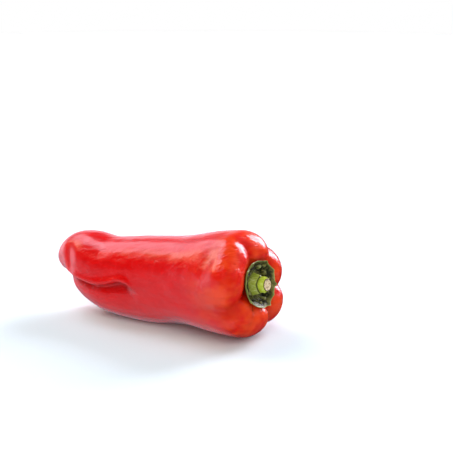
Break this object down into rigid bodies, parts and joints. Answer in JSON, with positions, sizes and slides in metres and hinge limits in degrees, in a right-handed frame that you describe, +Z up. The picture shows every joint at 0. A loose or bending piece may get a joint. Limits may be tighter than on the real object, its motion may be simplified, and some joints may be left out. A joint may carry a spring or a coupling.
{
  "type": "bell pepper",
  "caption": "Long lobed red sweet pepper lying on its side, tapering to a curled nose with a fold above the chin, with its green calyx and short cut stem.",
  "frame": {"origin": "bottom centre of the whole pepper's box, on the surface that it rests on", "axes": "+X along the pepper towards its stem, +Z up, and the fold near the nose is on the -Y side"},
  "size_m": [0.1972, 0.0832, 0.0818],
  "materials": {
    "skin": "smooth waxy fruit skin, glossy",
    "calyx": "puckered leafy green, satin",
    "stem": "ribbed green plant stem with a dry pale cut face"
  },
  "bodies": {
    "root": {"fruit": "skin", "calyx": "calyx", "stem": "stem"}
  },
  "joints": []
}
